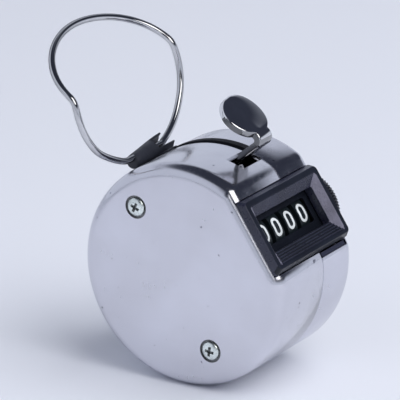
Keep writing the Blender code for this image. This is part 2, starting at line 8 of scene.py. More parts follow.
import bmesh
import bpy
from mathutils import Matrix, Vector
from mathutils.geometry import tessellate_polygon


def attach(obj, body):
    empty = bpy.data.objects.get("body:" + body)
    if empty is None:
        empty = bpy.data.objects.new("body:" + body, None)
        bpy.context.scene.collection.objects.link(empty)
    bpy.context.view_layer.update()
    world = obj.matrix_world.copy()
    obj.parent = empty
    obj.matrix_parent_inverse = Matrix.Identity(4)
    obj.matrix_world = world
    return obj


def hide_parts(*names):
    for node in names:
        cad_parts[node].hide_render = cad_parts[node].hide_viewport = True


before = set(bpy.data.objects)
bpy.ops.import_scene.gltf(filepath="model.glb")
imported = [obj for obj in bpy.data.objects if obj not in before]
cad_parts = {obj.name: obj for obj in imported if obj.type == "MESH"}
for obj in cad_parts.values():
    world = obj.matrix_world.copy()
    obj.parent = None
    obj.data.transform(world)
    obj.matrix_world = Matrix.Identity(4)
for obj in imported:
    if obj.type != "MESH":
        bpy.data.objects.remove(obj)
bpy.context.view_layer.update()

MM = 0.001
CASE_R = 22.5
CASE_W = 27.8
WALL = 0.8
EDGE_R = 2.7
FLAT_D = 20.2
FLAT_BLEND = 4.0
WINDOW_ANGLE = 146.0
SEAM_X = 16.15
MID_X = CASE_W / 2.0
WHEEL_AXIS_D = 10.1
WHEEL_PITCH = 4.7
DRUM_R = 7.5
SHAFT_R = 1.3
KNOB_R = 7.8
LEVER_PIVOT = (-9.0, 16.0)
LEVER_X = 12.7
RING_AXIS = (16.04, 18.88)
RING_X = 12.9
RING_WIRE_R = 0.66
SLEEVE_R = 2.1
SCREWS = {"upper": (10.05, 12.43), "lower": (-6.83, -13.82)}


# ---- small geometry helpers ----
def direction(angle):
    return cos(radians(angle)), sin(radians(angle))


NORMAL = direction(WINDOW_ANGLE)
UPWARD = (NORMAL[1], -NORMAL[0])
WHEEL_AXIS = (NORMAL[0] * WHEEL_AXIS_D, NORMAL[1] * WHEEL_AXIS_D)


def polar(centre, radius, angle):
    y, z = direction(angle)
    return centre[0] + radius * y, centre[1] + radius * z


def circle(centre, radius, count, start=0.0):
    return [polar(centre, radius, start + 360.0 * i / count) for i in range(count)]


def on_window(x, u, d):
    """Point x along the case, u up the window's flat and d from the case axis."""
    return x, NORMAL[0] * d + UPWARD[0] * u, NORMAL[1] * d + UPWARD[1] * u


def clamp(value):
    return max(0.0, min(1.0, value))


def between(low, high, share):
    return low + (high - low) * share


def make(name, verts, faces, mat, body, slot, sharp=35.0):
    """Closed mesh facing outwards; with a body it is a piece that rides on it, else a cutter."""
    mesh = bpy.data.meshes.new(name)
    mesh.from_pydata([Vector(v) * MM for v in verts], [], faces)
    mesh.validate()
    bm = bmesh.new()
    bm.from_mesh(mesh)
    bmesh.ops.recalc_face_normals(bm, faces=bm.faces)
    if bm.calc_volume(signed=True) < 0:
        bmesh.ops.reverse_faces(bm, faces=bm.faces)
    bm.to_mesh(mesh)
    bm.free()
    mesh.shade_smooth()
    mesh.set_sharp_from_angle(angle=radians(sharp))
    if mat:
        mesh.materials.append(mat)
    obj = bpy.data.objects.new(name, mesh)
    bpy.context.scene.collection.objects.link(obj)
    if body:
        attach(obj, body)
    return obj


def prism_data(loops, x0, x1):
    """Vertices and faces of flat (y, z) loops, the first outside and the others holes, drawn out along X."""
    flat = [(p[0], p[1]) for loop in loops for p in loop]
    count = len(flat)
    verts = [(x0, *p) for p in flat] + [(x1, *p) for p in flat]
    tris = tessellate_polygon([[Vector((p[0], p[1], 0.0)) for p in loop] for loop in loops])
    faces = [tuple(t) for t in tris]
    faces += [tuple(i + count for i in reversed(t)) for t in tris]
    start = 0
    for loop in loops:
        size = len(loop)
        for i in range(size):
            a = start + i
            b = start + (i + 1) % size
            faces.append((a, b, b + count, a + count))
        start += size
    return verts, faces


def prism(name, loops, x0, x1, mat=None, body=None, slot=None):
    return make(name, *prism_data(loops, x0, x1), mat, body, slot)


def turned(name, profile, centre, count, mat=None, body=None, slot=None, sharp=35.0):
    """Solid turned about the X direction through centre; profile is (x, radius)."""
    verts = []
    rows = []
    for x, radius in profile:
        if radius == 0.0:
            rows.append([len(verts)])
            verts.append((x, *centre))
        else:
            rows.append(list(range(len(verts), len(verts) + count)))
            verts += [(x, *p) for p in circle(centre, radius, count)]
    pairs = list(zip(rows, rows[1:]))
    if profile[0][1] != 0.0:
        pairs.append((rows[-1], rows[0]))
    faces = []
    for a, b in pairs:
        for i in range(count):
            j = (i + 1) % count
            if len(a) == 1:
                faces.append((a[0], b[i], b[j]))
            elif len(b) == 1:
                faces.append((a[i], b[0], a[j]))
            else:
                faces.append((a[i], b[i], b[j], a[j]))
    return make(name, verts, faces, mat, body, slot, sharp)


def lofted(name, rings, mat=None, body=None, slot=None, closed=False, sharp=35.0):
    """Skin over rings with equal numbers of points, capped at both ends or closed on itself."""
    count = len(rings[0])
    verts = [p for ring in rings for p in ring]
    faces = []
    for k in range(len(rings) if closed else len(rings) - 1):
        a = k * count
        b = ((k + 1) % len(rings)) * count
        for i in range(count):
            j = (i + 1) % count
            faces.append((a + i, a + j, b + j, b + i))
    if not closed:
        faces.append(tuple(range(count)))
        faces.append(tuple(reversed(range(len(verts) - count, len(verts)))))
    return make(name, verts, faces, mat, body, slot, sharp)


def settle(obj):
    """Apply an object's modifiers."""
    bpy.context.view_layer.update()
    graph = bpy.context.evaluated_depsgraph_get()
    mesh = bpy.data.meshes.new_from_object(obj.evaluated_get(graph))
    mats = list(obj.data.materials)
    mesh.materials.clear()
    for mat in mats:
        mesh.materials.append(mat)
    obj.modifiers.clear()
    obj.data = mesh


def cut(target, cutters):
    for cutter in cutters:
        mod = target.modifiers.new("cut", "BOOLEAN")
        mod.operation = "DIFFERENCE"
        mod.solver = "EXACT"
        mod.object = cutter
    settle(target)
    for cutter in cutters:
        bpy.data.objects.remove(cutter)


def bevel(obj, width, segments=2, angle=35.0):
    mod = obj.modifiers.new("edge", "BEVEL")
    mod.width = width * MM
    mod.segments = segments
    mod.limit_method = "ANGLE"
    mod.angle_limit = radians(angle)
    mod.harden_normals = True
    return obj


# ---- materials ----
class Nodes:
    """Short way to build a material's node tree."""

    def __init__(self, name):
        self.mat = bpy.data.materials.new(name)
        self.mat.use_nodes = True
        self.tree = self.mat.node_tree
        self.bsdf = self.tree.nodes["Principled BSDF"]
        self.place = self.add("ShaderNodeTexCoord").outputs["Object"]

    def add(self, kind, **values):
        node = self.tree.nodes.new(kind)
        for key, value in values.items():
            setattr(node, key, value)
        return node

    def link(self, a, b):
        self.tree.links.new(a, b)

    def scaled(self, scale):
        node = self.add("ShaderNodeMapping")
        node.inputs["Scale"].default_value = scale
        self.link(self.place, node.inputs["Vector"])
        return node.outputs["Vector"]

    def noise(self, scale, detail=3.0, rough=0.5, vector=None):
        node = self.add("ShaderNodeTexNoise")
        node.inputs["Scale"].default_value = scale
        node.inputs["Detail"].default_value = detail
        node.inputs["Roughness"].default_value = rough
        self.link(vector or self.place, node.inputs["Vector"])
        return node.outputs["Fac"]

    def ramp(self, fac, stops):
        node = self.add("ShaderNodeValToRGB")
        ramp = node.color_ramp
        ramp.elements[0].position = stops[0][0]
        ramp.elements[0].color = (*stops[0][1], 1.0)
        ramp.elements[1].position = stops[-1][0]
        ramp.elements[1].color = (*stops[-1][1], 1.0)
        for where, colour in stops[1:-1]:
            ramp.elements.new(where).color = (*colour, 1.0)
        self.link(fac, node.inputs["Fac"])
        return node.outputs["Color"]

    def span(self, fac, low, high, start=0.0, end=1.0):
        node = self.add("ShaderNodeMapRange")
        node.inputs["From Min"].default_value = start
        node.inputs["From Max"].default_value = end
        node.inputs["To Min"].default_value = low
        node.inputs["To Max"].default_value = high
        self.link(fac, node.inputs["Value"])
        return node.outputs["Result"]

    def bump(self, height, strength, distance, under=None):
        node = self.add("ShaderNodeBump")
        node.inputs["Strength"].default_value = strength
        node.inputs["Distance"].default_value = distance
        self.link(height, node.inputs["Height"])
        if under:
            self.link(under, node.inputs["Normal"])
        return node.outputs["Normal"]

    def finish(self, colour=None, rough=None, normal=None, metallic=0.0, **sockets):
        self.bsdf.inputs["Metallic"].default_value = metallic
        if colour:
            self.link(colour, self.bsdf.inputs["Base Color"])
        if rough:
            self.link(rough, self.bsdf.inputs["Roughness"])
        if normal:
            self.link(normal, self.bsdf.inputs["Normal"])
        for key, value in sockets.items():
            self.bsdf.inputs[key.replace("_", " ")].default_value = value
        return self.mat


def tinted(value, tint):
    return tuple(value * t for t in tint)


COOL = (0.965, 0.97, 1.0)
PIT = (0.22, 0.22, 0.27, 1.0)


def case_steel():
    """Satin-plated steel: drawn streaks, smudges, cloudy tone and a few tiny pits."""
    n = Nodes("case_steel")
    streak = n.noise(1.0, 4.0, 0.6, n.scaled((900.0, 2600.0, 140.0)))
    cloud = n.noise(55.0, 4.0, 0.6)
    smudge = n.noise(1.0, 3.0, 0.55, n.scaled((260.0, 90.0, 420.0)))
    pits = n.noise(750.0, 1.0, 0.3)
    colour = n.ramp(cloud, [(0.32, (0.62, 0.62, 0.675)), (0.68, (0.685, 0.69, 0.755))])
    dark = n.span(pits, 0.0, 1.0, 0.775, 0.81)
    mix = n.add("ShaderNodeMix", data_type="RGBA")
    mix.inputs["B"].default_value = PIT
    n.link(dark, mix.inputs["Factor"])
    n.link(colour, mix.inputs["A"])
    add = n.add("ShaderNodeMath", operation="ADD")
    n.link(n.span(streak, 0.13, 0.22, 0.3, 0.7), add.inputs[0])
    n.link(n.span(smudge, 0.0, 0.10, 0.45, 0.75), add.inputs[1])
    fine = n.bump(streak, 0.035, 0.00002)
    normal = n.bump(n.span(cloud, 0.0, 1.0, 0.2, 0.8), 0.06, 0.0003, fine)
    return n.finish(mix.outputs["Result"], add.outputs["Value"], normal, 1.0)


def chrome(name, low=0.05, high=0.12, tone=0.8, edge=1.0):
    """Bright nickel-chrome plate with hairline scratches; edge is its tint at grazing angles."""
    n = Nodes(name)
    scratch = n.noise(1.0, 5.0, 0.7, n.scaled((1200.0, 350.0, 350.0)))
    cloud = n.noise(300.0, 2.0)
    colour = n.ramp(cloud, [(0.3, tinted(tone * 0.94, COOL)), (0.7, tinted(tone * 1.05, COOL))])
    rough = n.span(scratch, low, high, 0.35, 0.7)
    normal = n.bump(scratch, 0.04, 0.00001)
    return n.finish(colour, rough, normal, 1.0, Specular_Tint=(edge, edge, edge, 1.0))


def plated(name, tone=0.55, tint=(1.0, 0.99, 0.96), low=0.25, high=0.42):
    """Plated screw and pivot steel."""
    n = Nodes(name)
    grain = n.noise(1500.0, 4.0, 0.6)
    cloud = n.noise(500.0, 2.0)
    colour = n.ramp(cloud, [(0.3, tinted(tone * 0.85, tint)), (0.7, tinted(tone * 1.1, tint))])
    rough = n.span(grain, low, high, 0.3, 0.7)
    return n.finish(colour, rough, n.bump(grain, 0.12, 0.00002), 1.0)


def moulded(name, tone, tint, low, high, bump=0.25, scale=1800.0, distance=0.00004, shine=0.5):
    """Moulded plastic with a fine eroded grain."""
    n = Nodes(name)
    grain = n.noise(scale, 4.0, 0.6)
    cloud = n.noise(150.0, 3.0)
    colour = n.ramp(cloud, [(0.3, tinted(tone * 0.8, tint)), (0.7, tinted(tone * 1.25, tint))])
    rough = n.span(grain, low, high, 0.3, 0.7)
    return n.finish(colour, rough, n.bump(grain, bump, distance), 0.0, Specular_IOR_Level=shine)


VIOLET = (0.85, 0.93, 1.75)
MATS = {
    "case": case_steel(),
    "chrome": chrome("chrome_plate"),
    # The finger ring's chrome is a darker copy, tinted dark at grazing angles: painted shade for the dark
    # reflections along the wire's edges.
    "ring": chrome("ring_chrome_painted_shade", 0.05, 0.13, 0.6, 0.12),
    "lever": chrome("lever_chrome", 0.04, 0.09),
    # Darker copies of the lever chrome for its side walls and front-facing undersides: painted shade for the
    # dark reflections there.
    "lever_side_painted_shade": chrome("lever_side_chrome", 0.12, 0.22, 0.16),
    "lever_under_painted_shade": chrome("lever_under_chrome", 0.08, 0.16, 0.34),
    "screw": plated("screw_plate", 0.86, (0.93, 1.0, 0.97), 0.2, 0.36),
    # Darker copies of the screw plate for the cross recess and the ring in the dimple round each head:
    # painted shade.
    "recess": plated("recess_painted_shade_plate", 0.34, (0.95, 1.0, 1.0), 0.35, 0.55),
    "seat": plated("seat_painted_shade_plate", 0.2, (0.95, 0.98, 1.0), 0.35, 0.55),
    "inner": plated("inner_plate", 0.5),
    "spring": plated("spring_wire", 0.4, (0.97, 0.98, 1.0)),
    "bezel": moulded("bezel_plastic", 0.022, VIOLET, 0.24, 0.36, 0.2),
    # Darker copies of the bezel plastic for the lower sill and the flat front are painted shade; the lighter
    # grained copy for the side slopes is real grain plus painted light.
    "bezel_sill_painted_shade": moulded("bezel_sill_plastic", 0.008, (0.8, 1.0, 1.6), 0.3, 0.45, 0.3, shine=0.3),
    "bezel_front_painted_shade": moulded("bezel_front_plastic", 0.010, (0.8, 1.0, 1.8), 0.3, 0.42, 0.2, shine=0.2),
    "bezel_grain_painted_light": moulded("bezel_grain_painted_light", 0.14, (1.0, 0.97, 1.3), 0.42, 0.6, 1.0, 1800.0, 0.00025),
    "band": moulded("band_plastic", 0.008, (0.8, 1.0, 1.7), 0.6, 0.8, 0.3, 1500.0, 0.00005, 0.12),
    "strip": moulded("strip_plastic", 0.016, (0.95, 1.0, 1.3), 0.6, 0.8, 0.4, 1500.0, 0.00005, 0.15),
    "sleeve": moulded("sleeve_rubber", 0.02, (0.95, 1.05, 1.5), 0.42, 0.6, 0.5, 1100.0, 0.00008, 0.4),
    "knob": moulded("knob_plastic", 0.014, (0.85, 0.95, 1.5), 0.35, 0.5),
    "wheel": moulded("wheel_plastic", 0.011, (0.7, 1.1, 1.4), 0.30, 0.45),
    "nylon": moulded("pinion_nylon", 0.62, (1.0, 0.98, 0.92), 0.4, 0.5),
    "digit": moulded("digit_ink", 0.75, (0.95, 1.0, 1.02), 0.45, 0.6, 0.1),
}


def carry_over(material, *nodes):
    """Give CAD nodes that stay visible their finished material."""
    for name in nodes:
        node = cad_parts[name]
        node.data.materials.clear()
        node.data.materials.append(material)
        node.data.shade_smooth()
        node.data.set_sharp_from_angle(angle=radians(35.0))


# ---- the case ----
CHORD_STEPS = 8
BLEND_STEPS = 10
ARC_STEPS = 190


def case_outline(inset):
    """Case section moved inwards: a big arc and the window's chord, joined by blends."""
    radius = CASE_R - inset
    flat = FLAT_D - inset
    blend = FLAT_BLEND - inset
    middle = CASE_R - FLAT_BLEND
    across = sqrt(middle ** 2 - (FLAT_D - FLAT_BLEND) ** 2)
    turn = degrees(atan2(across, FLAT_D - FLAT_BLEND))
    points = []
    for i in range(CHORD_STEPS):
        u = across - 2.0 * across * i / CHORD_STEPS
        points.append(on_window(0.0, u, flat)[1:])
    low = on_window(0.0, -across, FLAT_D - FLAT_BLEND)[1:]
    points += [polar(low, blend, WINDOW_ANGLE + turn * i / BLEND_STEPS) for i in range(BLEND_STEPS)]
    sweep = 360.0 - 2.0 * turn
    start = WINDOW_ANGLE + turn
    points += [polar((0.0, 0.0), radius, start + sweep * i / ARC_STEPS) for i in range(ARC_STEPS)]
    high = on_window(0.0, across, FLAT_D - FLAT_BLEND)[1:]
    start = WINDOW_ANGLE - turn
    points += [polar(high, blend, start + turn * i / BLEND_STEPS) for i in range(BLEND_STEPS)]
    return points


def cup(name, face_x, rim_x):
    """Half of the case: a sheet-metal cup with a rolled edge, from its flat face to its rim at the seam."""
    side = 1.0 if rim_x > face_x else -1.0
    steps = 10
    lip = 0.1
    rings = [(rim_x, lip), (rim_x - side * lip * 0.35, lip * 0.3), (rim_x - side * lip, 0.0)]
    for i in range(steps + 1):
        turn = radians(90.0 * i / steps)
        rings.append((face_x + side * EDGE_R * (1.0 - sin(turn)), EDGE_R * (1.0 - cos(turn))))
    last_outer = len(rings) - 1
    inner_r = EDGE_R - WALL
    for i in range(steps, -1, -2):
        turn = radians(90.0 * i / steps)
        depth = WALL + inner_r * (1.0 - sin(turn))
        rings.append((face_x + side * depth, WALL + inner_r * (1.0 - cos(turn))))
    rings.append((rim_x, WALL))
    outlines = [[(x, *p) for p in case_outline(inset)] for x, inset in rings]
    count = len(outlines[0])
    verts = [p for ring in outlines for p in ring]
    faces = []
    for k in range(len(rings)):
        if k == last_outer:
            continue
        a = k * count
        b = ((k + 1) % len(rings)) * count
        for i in range(count):
            j = (i + 1) % count
            faces.append((a + i, a + j, b + j, b + i))
    faces.append(tuple(range(last_outer * count, (last_outer + 1) * count)))
    faces.append(tuple(range((last_outer + 1) * count, (last_outer + 2) * count)))
    return make(name, verts, faces, MATS["case"], "case", "case_steel")


BEZEL_LOW = -8.45
BEZEL_HIGH = 7.4
BEZEL_GAP = 0.12
BAND = (38.0, 102.5)      # angles between which the seam is open and shows the dark band
BAND_RIGHT = 1.95
STRIP_START = 56.0
STRIP_PROUD = 0.2
SLOT_Y = (-8.5, -4.6)
SLOT_X = 9.3
SEAM_GAP = 0.09
SCREW_HOLE_R = 1.6
SCREW_POCKET = (2.34, 0.46)     # radius and depth of the dimple round each screw's head


def block(name, x0, x1, low, high, depth0, depth1):
    """Box squared to the window: low to high up its flat, depth0 to depth1 out from the axis."""
    rings = [[on_window(x, u, d) for u, d in ((low, depth0), (high, depth0), (high, depth1), (low, depth1))]
             for x in (x0, x1)]
    return lofted(name, rings)


def window_cut():
    return block("cut_window", -2.0, CASE_W + 2.0, BEZEL_LOW - BEZEL_GAP, BEZEL_HIGH + BEZEL_GAP, 19.3, 26.0)


def sector(name, x0, x1, low, high, inner, outer, mat=None, body=None, slot=None, steps=60):
    """Piece of a tube about the case's axis, between two angles and two radii."""
    angles = [low + (high - low) * i / steps for i in range(steps + 1)]
    loop = [polar((0.0, 0.0), outer, a) for a in angles]
    loop += [polar((0.0, 0.0), inner, a) for a in reversed(angles)]
    return prism(name, [loop], x0, x1, mat, body, slot)


def drill(name, centre, radius, x0, x1, count=48):
    return turned(name, [(x0, 0.0), (x0, radius), (x1, radius), (x1, 0.0)], centre, count)


def build_case():
    left = cup("case_left", 0.0, SEAM_X - SEAM_GAP)
    slot = [(SLOT_Y[0], 15.0), (SLOT_Y[1], 15.0), (SLOT_Y[1], 26.0), (SLOT_Y[0], 26.0)]
    cuts = [window_cut()]
    cuts.append(prism("cut_slot", [slot], SLOT_X, SEAM_X + 1.0))
    cuts.append(sector("cut_band", SEAM_X - 0.8, SEAM_X + 1.0, *BAND, 20.0, 24.0))
    for where, centre in SCREWS.items():
        cuts.append(drill("cut_" + where, centre, SCREW_HOLE_R, -1.0, 3.0))
        cuts.append(drill("pocket_" + where, centre, SCREW_POCKET[0], -1.0, SCREW_POCKET[1], 96))
    cut(left, cuts)
    bevel(left, 0.1)
    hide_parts("left_shell")

    right = cup("case_right", CASE_W, SEAM_X + SEAM_GAP)
    cuts = [window_cut()]
    cuts.append(block("cut_flange", SEAM_X - 1.0, 25.8, BEZEL_LOW - 1.3, BEZEL_LOW, 18.4, 24.0))
    cuts.append(drill("cut_shaft", WHEEL_AXIS, 1.8, CASE_W - 3.0, CASE_W + 1.0))
    cuts.append(sector("cut_band", SEAM_X - 1.0, SEAM_X + BAND_RIGHT, *BAND, 20.0, 24.0))
    cut(right, cuts)
    bevel(right, 0.1)
    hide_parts("right_shell")
    carry_over(MATS["band"], "inner_band", "window_mask")
    strip = sector("seam_strip", SEAM_X + 0.35, SEAM_X + BAND_RIGHT - 0.06, STRIP_START, BAND[1] - 0.6,
                   CASE_R - 0.9, CASE_R + STRIP_PROUD, MATS["strip"], "case", "black_plastic")
    bevel(strip, 0.15, 2)


# ---- window bezel ----
BEZEL_SEAT = 19.5
BEZEL_FRONT = 21.3
THROAT_TOP = 20.0
THROAT_END = 18.2
THROAT_HALF = 10.4
THROAT_U = (-4.3, 3.4)
LIP_HALF = THROAT_HALF + 1.6
LIP_U = (-7.0, 5.5)
BEZEL_EDGE = 0.18


def rounded_rect(x0, x1, low, high, depth, radius, steps=6):
    """Ring of points round a rectangle with round corners, parallel to the window."""
    corners = ((x1, high, 0.0), (x0, high, 90.0), (x0, low, 180.0), (x1, low, 270.0))
    ring = []
    for cx, cu, start in corners:
        mx = cx - radius if cx == x1 else cx + radius
        mu = cu - radius if cu == high else cu + radius
        for i in range(steps + 1):
            turn = radians(start + 90.0 * i / steps)
            ring.append(on_window(mx + radius * cos(turn), mu + radius * sin(turn), depth))
    return ring


def bezel_zone(centre):
    """Material index of a bezel face: 1 grained side slopes in a lighter copy (real grain plus painted
    light), 2 lower sill in a darker copy (painted shade), 3 flat front in a darker copy (painted dark
    reflection), 0 the rest.
    """
    depth = centre[1] * NORMAL[0] + centre[2] * NORMAL[1]
    if depth >= BEZEL_FRONT - 0.05:
        return 3
    if depth <= THROAT_TOP:
        return 0
    if 10.6 < abs(centre[0] - MID_X) < 12.2:
        return 1
    return 2 if centre[1] * UPWARD[0] + centre[2] * UPWARD[1] < -4.5 else 0


def slope_ribs(count, phase, edge, throat, size):
    """Fine ribs on a slope of the bezel, as (up, out, half length, half thickness)."""
    ribs = []
    for i in range(count):
        t = (i + phase) / count
        reach = THROAT_HALF + (LIP_HALF - THROAT_HALF) * (1.0 - t) - 0.25
        ribs.append((between(edge, throat, t), between(BEZEL_FRONT, THROAT_TOP, t), reach, size))
    return ribs


def build_bezel():
    base = (MID_X - 13.6, MID_X + 13.6, BEZEL_LOW, BEZEL_HIGH)
    rim = (MID_X - 13.2, MID_X + 13.2, BEZEL_LOW + 0.7, BEZEL_HIGH - 0.75)
    lip = (MID_X - LIP_HALF, MID_X + LIP_HALF, *LIP_U)
    throat = (MID_X - THROAT_HALF, MID_X + THROAT_HALF, *THROAT_U)
    plug = (MID_X - 11.6, MID_X + 11.6, -6.8, 6.0)
    rings = [rounded_rect(*base, BEZEL_SEAT, 0.9), rounded_rect(*base, BEZEL_SEAT + 0.5, 0.9)]
    rings += [rounded_rect(*rim, BEZEL_FRONT, 1.0), rounded_rect(*lip, BEZEL_FRONT, 0.5)]
    rings += [rounded_rect(*throat, THROAT_TOP, 0.3), rounded_rect(*throat, THROAT_END, 0.3)]
    rings += [rounded_rect(*plug, THROAT_END, 0.5), rounded_rect(*plug, BEZEL_SEAT, 0.5)]
    bezel = lofted("bezel", rings, MATS["bezel"], "case", "bezel_plastic", closed=True, sharp=25.0)
    for zone in ("bezel_grain_painted_light", "bezel_sill_painted_shade", "bezel_front_painted_shade"):
        bezel.data.materials.append(MATS[zone])
    # Each face takes its zone's copy: painted light on the side slopes, painted shade on the sill and the
    # flat front.
    for face in bezel.data.polygons:
        face.material_index = bezel_zone(face.center / MM)
    bevel(bezel, BEZEL_EDGE, 3, 25.0)
    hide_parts("window_bezel")
    ribs = slope_ribs(9, 0.6, LIP_U[1], THROAT_U[1], 0.055) + slope_ribs(5, 0.5, LIP_U[0], THROAT_U[0], 0.13)
    verts = []
    faces = []
    for u, d, reach, size in ribs:
        base_i = len(verts)
        for x in (MID_X - reach, MID_X + reach):
            for du, dd in ((-size, -size), (size, -size), (size * 0.7, size), (-size * 0.7, size)):
                verts.append(on_window(x, u + du, d + dd * 0.8))
        faces += [tuple(base_i + i for i in f) for f in
                  ((0, 1, 2, 3), (7, 6, 5, 4), (0, 4, 5, 1), (1, 5, 6, 2), (2, 6, 7, 3), (3, 7, 4, 0))]
    make("bezel_ribs", verts, faces, MATS["bezel"], "case", "bezel_plastic")
    carry_over(MATS["bezel"], "bezel_flange")


# ---- number wheels ----
DIGIT_H = 3.85
DIGIT_W = 2.35
STROKE = 0.58
INK_TOP = 0.03
INK_UNDER = -0.05
DIGIT_LEAN = 148.0        # angle of the digit 0 round the wheel, in the middle of the window
DIGIT_TURN = 36.0


def arc(cx, cy, rx, ry, start, end, steps=14):
    return [(cx + rx * cos(radians(start + (end - start) * i / steps)),
             cy + ry * sin(radians(start + (end - start) * i / steps))) for i in range(steps + 1)]


def digit_paths(digit):
    """Centre lines of a digit in a box of width DIGIT_W and height DIGIT_H, about its middle."""
    w = (DIGIT_W - STROKE) / 2.0
    h = (DIGIT_H - STROKE) / 2.0
    top = h - w
    paths = {
        0: [arc(0, top, w, w, 0, 180) + arc(0, -top, w, w, 180, 360) + [(w, top)]],
        1: [[(-w * 0.7, h * 0.55), (0.1, h), (0.1, -h)]],
        2: [arc(0, top, w, w, 165, -35) + [(-w, -h), (w, -h)]],
        3: [arc(0, h / 2, w, h / 2, 150, -90) + arc(0, -h / 2, w, h / 2, 90, -150)],
        4: [[(w * 0.45, -h), (w * 0.45, h), (-w, -h * 0.35), (w, -h * 0.35)]],
        5: [[(w, h), (-w * 0.85, h), (-w * 0.9, 0.15)] + arc(0, -h + w * 1.05, w, w * 1.05, 125, -150)],
        6: [[(w * 0.75, h), (-w * 0.4, h * 0.35)] + arc(0, -top, w, w, 160, 520)],
        7: [[(-w, h), (w, h), (-w * 0.25, -h)]],
        8: [arc(0, h / 2, w * 0.9, h / 2, -90, 270), arc(0, -h / 2, w, h / 2, 90, 450)],
        9: [[(-w * 0.75, -h), (w * 0.4, -h * 0.35)] + arc(0, top, w, w, -20, 340)],
    }
    return paths[digit]


def ribbon(path, half, wrap, closed):
    """Flat stroke along a path, as a shallow closed solid on the drum."""
    count = len(path)
    rings = []
    for i, (x, y) in enumerate(path):
        a = path[max(i - 1, 0)]
        b = path[min(i + 1, count - 1)]
        if closed and i in (0, count - 1):
            a, b = path[-2], path[1]
        length = hypot(b[0] - a[0], b[1] - a[1]) or 1.0
        sx = -(b[1] - a[1]) / length * half
        sy = (b[0] - a[0]) / length * half
        rings.append([wrap(x + sx, y + sy, INK_TOP), wrap(x - sx, y - sy, INK_TOP),
                      wrap(x - sx, y - sy, INK_UNDER), wrap(x + sx, y + sy, INK_UNDER)])
    return rings


def span_of(a, b):
    return hypot(b[0] - a[0], b[1] - a[1])


def densified(path, step=0.25):
    """The same path with points no further apart than step."""
    out = [path[0]]
    for a, b in zip(path, path[1:]):
        parts = max(1, ceil(span_of(a, b) / step))
        out += [tuple(a[k] + (b[k] - a[k]) * i / parts for k in range(2)) for i in range(1, parts + 1)]
    return out


def build_wheels():
    for index, name in enumerate(("thousands", "hundreds", "tens", "units")):
        x_mid = MID_X + WHEEL_PITCH * (index - 1.5)
        verts = []
        faces = []
        for digit in range(10):
            lean = DIGIT_LEAN - DIGIT_TURN * digit

            def wrap(x, y, lift, lean=lean, x_mid=x_mid):
                angle = lean - degrees(y / DRUM_R)
                return (x_mid + x, *polar(WHEEL_AXIS, DRUM_R + lift, angle))

            for path in digit_paths(digit):
                closed = span_of(path[0], path[-1]) < 1e-6
                rings = ribbon(densified(path), STROKE / 2.0, wrap, closed)
                base_i = len(verts)
                verts += [p for ring in rings for p in ring]
                for k in range(len(rings) - 1):
                    for i in range(4):
                        j = (i + 1) % 4
                        a = base_i + 4 * k
                        faces.append((a + i, a + j, a + 4 + j, a + 4 + i))
                last = base_i + 4 * (len(rings) - 1)
                faces.append((base_i, base_i + 1, base_i + 2, base_i + 3))
                faces.append((last + 3, last + 2, last + 1, last))
        make("digits_" + name, verts, faces, MATS["digit"], name, "wheel_plastic")
    carry_over(MATS["wheel"], *("wheel_" + n for n in ("thousands", "hundreds", "tens", "units")))
    carry_over(MATS["nylon"], *("pinion_" + n for n in ("thousands", "hundreds", "tens")))
    carry_over(MATS["inner"], "ratchet_wheel", "wheel_shaft", "pinion_shaft", "lever_pin", "detent_pin",
               "drive_pawl_pin", "drive_pawl", "detent_pawl", "frame_plate_left", "frame_plate_right",
               "frame_spacer_rear", "frame_spacer_top", "frame_spacer_front", "screw_post_upper",
               "screw_post_lower")
    carry_over(MATS["spring"], "lever_spring")


# ---- knob ----
RIDGES = 76
TOOTH = ((0.0, 0.0), (0.25, 0.45), (0.5, 1.0), (0.75, 0.45))     # shares of a ridge's width and depth


def toothed(x, outer, depth):
    """Ring round the knob at x with ridges cut to depth."""
    return [(x, *polar(WHEEL_AXIS, outer - depth * fall, 360.0 * (i + part) / RIDGES))
            for i in range(RIDGES) for part, fall in TOOTH]


def build_knob():
    x0 = CASE_W + 0.9
    x1 = CASE_W + 6.0
    bore = SHAFT_R + 0.12
    profile = [(x0, bore, 0.0), (x0, KNOB_R - 0.9, 0.0), (x0, KNOB_R - 0.35, 0.2)]
    profile += [(x0 + 0.3, KNOB_R, 0.5), (x1 - 0.45, KNOB_R, 0.5), (x1 - 0.1, KNOB_R - 0.3, 0.2)]
    profile += [(x1, KNOB_R - 0.8, 0.0), (x1, 4.9, 0.0), (x1 - 0.25, 4.65, 0.0)]
    profile += [(x1 - 1.0, 4.4, 0.0), (x1 - 1.0, bore, 0.0)]
    rings = [toothed(*row) for row in profile]
    knob = lofted("knob", rings, MATS["knob"], "knob", "knob_plastic", closed=True, sharp=30.0)
    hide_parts("reset_knob")
    carry_over(MATS["screw"], "knob_nut", "shaft_washer")


# ---- screws ----
HEAD_R = 1.88
POCKET_R = 2.32
CROSS_TURN = {"upper": 24.0, "lower": 8.0}
CROSS_TAPER = ((-1.0, 1.2, 0.33), (-0.42, 1.0, 0.29), (0.25, 0.4, 0.17))     # x, half length, half width
HEAD = ((-0.46, 0.0), (-0.45, 0.6), (-0.4, 1.05), (-0.29, 1.45), (-0.12, 1.72), (0.1, HEAD_R),
        (0.36, HEAD_R), (0.36, 1.2), (2.5, 1.2), (2.5, 0.0))
SEAT_IN = HEAD_R + 0.04
SEAT_OUT = POCKET_R - 0.06
SEAT = ((0.28, SEAT_IN), (0.28, SEAT_OUT), (0.02, SEAT_OUT), (0.0, POCKET_R), (0.44, POCKET_R),
        (0.44, SEAT_IN))


def cross_arm(centre, turn):
    """Cutter for one arm of a screw's cross, narrowing as it goes in."""
    along = direction(turn)
    across = direction(turn + 90.0)
    rings = []
    for x, reach, half in CROSS_TAPER:
        rings.append([(x, centre[0] + a * reach * along[0] + b * half * across[0],
                       centre[1] + a * reach * along[1] + b * half * across[1])
                      for a, b in ((1, 1), (-1, 1), (-1, -1), (1, -1))])
    return lofted("cross", rings)


